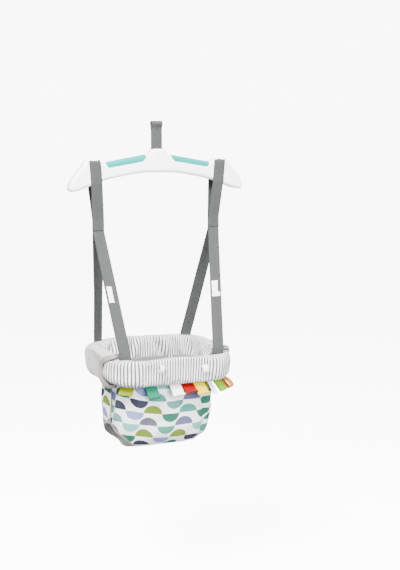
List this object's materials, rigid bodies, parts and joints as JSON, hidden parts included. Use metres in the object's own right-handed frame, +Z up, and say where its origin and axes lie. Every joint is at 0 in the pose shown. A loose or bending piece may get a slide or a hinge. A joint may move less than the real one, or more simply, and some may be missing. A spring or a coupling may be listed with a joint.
{
  "type": "baby doorway jumper seat",
  "caption": "Fabric baby jumper seat with a padded rim, hung by webbing from a curved plastic spreader bar with a strap loop at its top.",
  "frame": {"origin": "centre of the eye at the top of the hanging strap", "axes": "+Z up, X along the spreader bar with +X at its right end seen from the front, the front of the seat faces -Y"},
  "size_m": [0.4152, 0.2606, 0.7453],
  "materials": {
    "bar_plastic": "satin moulded",
    "grip_rubber": "soft-touch matt",
    "steel": "zinc plated",
    "webbing": "woven polyester webbing",
    "label_white": "woven satin label",
    "striped_cotton": "grey on white striped cotton",
    "foam": "open-cell foam",
    "beige_binding": "bias tape",
    "printed_cotton": "cotton printed with half-moons",
    "grey_lining": "plain woven",
    "toy_loop_cotton": "striped cotton",
    "ribbon_satin_lime": "satin",
    "ribbon_satin_mint": "satin",
    "ribbon_satin_white": "satin",
    "ribbon_satin_red": "satin",
    "ribbon_satin_yellow": "satin",
    "ribbon_satin_olive": "satin",
    "ribbon_satin_cream": "satin",
    "ribbon_satin_green": "satin",
    "ribbon_satin_orange": "satin"
  },
  "bodies": {
    "strap": {"hanging_strap": "webbing"},
    "bar": {"bar_front_shell": "bar_plastic", "bar_rear_shell": "bar_plastic", "strap_pin": "steel", "bar_screws": "steel", "left_grip_insert": "grip_rubber", "right_grip_insert": "grip_rubber", "left_bar_loop": "webbing", "right_bar_loop": "webbing"},
    "seat": {"left_front_strap": "webbing", "left_junction_patch": "webbing", "left_leg_binding": "beige_binding", "left_rear_strap": "webbing", "left_rim_binding": "beige_binding", "left_side_piping": "beige_binding", "left_strap_label": "label_white", "left_toy_loop": "toy_loop_cotton", "pouch_front_panel": "printed_cotton", "pouch_rear_panel": "printed_cotton", "right_front_strap": "webbing", "right_junction_patch": "webbing", "right_leg_binding": "beige_binding", "right_rear_strap": "webbing", "right_rim_binding": "beige_binding", "right_side_piping": "beige_binding", "right_strap_label": "label_white", "right_toy_loop": "toy_loop_cotton", "rim_cover_front": "striped_cotton", "rim_cover_rear": "striped_cotton", "rim_foam_front": "foam", "rim_foam_rear": "foam", "rim_hoop": "steel", "seam_tape": "beige_binding", "seat_lining": "grey_lining", "strap_anchors": "webbing"},
    "ribbon_lime": {"ribbon_lime": "ribbon_satin_lime"},
    "ribbon_mint": {"ribbon_mint": "ribbon_satin_mint"},
    "ribbon_white": {"ribbon_white": "ribbon_satin_white"},
    "ribbon_red": {"ribbon_red": "ribbon_satin_red"},
    "ribbon_yellow": {"ribbon_yellow": "ribbon_satin_yellow"},
    "ribbon_olive": {"ribbon_olive": "ribbon_satin_olive"},
    "ribbon_cream": {"ribbon_cream": "ribbon_satin_cream"},
    "ribbon_green": {"ribbon_green": "ribbon_satin_green"},
    "ribbon_orange": {"ribbon_orange": "ribbon_satin_orange"}
  },
  "joints": [
    {"name": "bar_tilt", "type": "hinge", "parent": "strap", "child": "bar", "pos_m": [0, 0, -0.075], "axis": [1, 0, 0], "range_deg": [-18, 18]},
    {"name": "seat_swing", "type": "hinge", "parent": "bar", "child": "seat", "pos_m": [0, 0, -0.211], "axis": [1, 0, 0], "range_deg": [-25, 25]},
    {"name": "ribbon_lime_flap", "type": "hinge", "parent": "seat", "child": "ribbon_lime", "pos_m": [-0.09989, -0.08677, -0.5685], "axis": [-0.7755, 0.6314, 0], "range_deg": [-27, 38], "stiffness_Nm_per_rad": 0.01},
    {"name": "ribbon_mint_flap", "type": "hinge", "parent": "seat", "child": "ribbon_mint", "pos_m": [-0.058, -0.1006, -0.5685], "axis": [-1, 0, 0], "range_deg": [-17, 48], "stiffness_Nm_per_rad": 0.01},
    {"name": "ribbon_white_flap", "type": "hinge", "parent": "seat", "child": "ribbon_white", "pos_m": [-0.001, -0.1006, -0.5685], "axis": [-1, 0, 0], "range_deg": [-31, 34], "stiffness_Nm_per_rad": 0.01},
    {"name": "ribbon_red_flap", "type": "hinge", "parent": "seat", "child": "ribbon_red", "pos_m": [0.0265, -0.1006, -0.5685], "axis": [-1, 0, 0], "range_deg": [-35, 30], "stiffness_Nm_per_rad": 0.01},
    {"name": "ribbon_yellow_flap", "type": "hinge", "parent": "seat", "child": "ribbon_yellow", "pos_m": [0.0545, -0.1006, -0.5685], "axis": [-1, 0, 0], "range_deg": [-31, 34], "stiffness_Nm_per_rad": 0.01},
    {"name": "ribbon_olive_flap", "type": "hinge", "parent": "seat", "child": "ribbon_olive", "pos_m": [0.07223, -0.09957, -0.5685], "axis": [-0.9832, -0.1823, 0], "range_deg": [-27, 38], "stiffness_Nm_per_rad": 0.01},
    {"name": "ribbon_cream_flap", "type": "hinge", "parent": "seat", "child": "ribbon_cream", "pos_m": [0.08212, -0.09687, -0.5685], "axis": [-0.9394, -0.3429, 0], "range_deg": [-31, 34], "stiffness_Nm_per_rad": 0.01},
    {"name": "ribbon_green_flap", "type": "hinge", "parent": "seat", "child": "ribbon_green", "pos_m": [0.09704, -0.08896, -0.5685], "axis": [-0.811, -0.5851, 0], "range_deg": [-40, 25], "stiffness_Nm_per_rad": 0.01},
    {"name": "ribbon_orange_flap", "type": "hinge", "parent": "seat", "child": "ribbon_orange", "pos_m": [0.11311, -0.07185, -0.5685], "axis": [-0.5333, -0.8459, 0], "range_deg": [-57, 8], "stiffness_Nm_per_rad": 0.01}
  ]
}
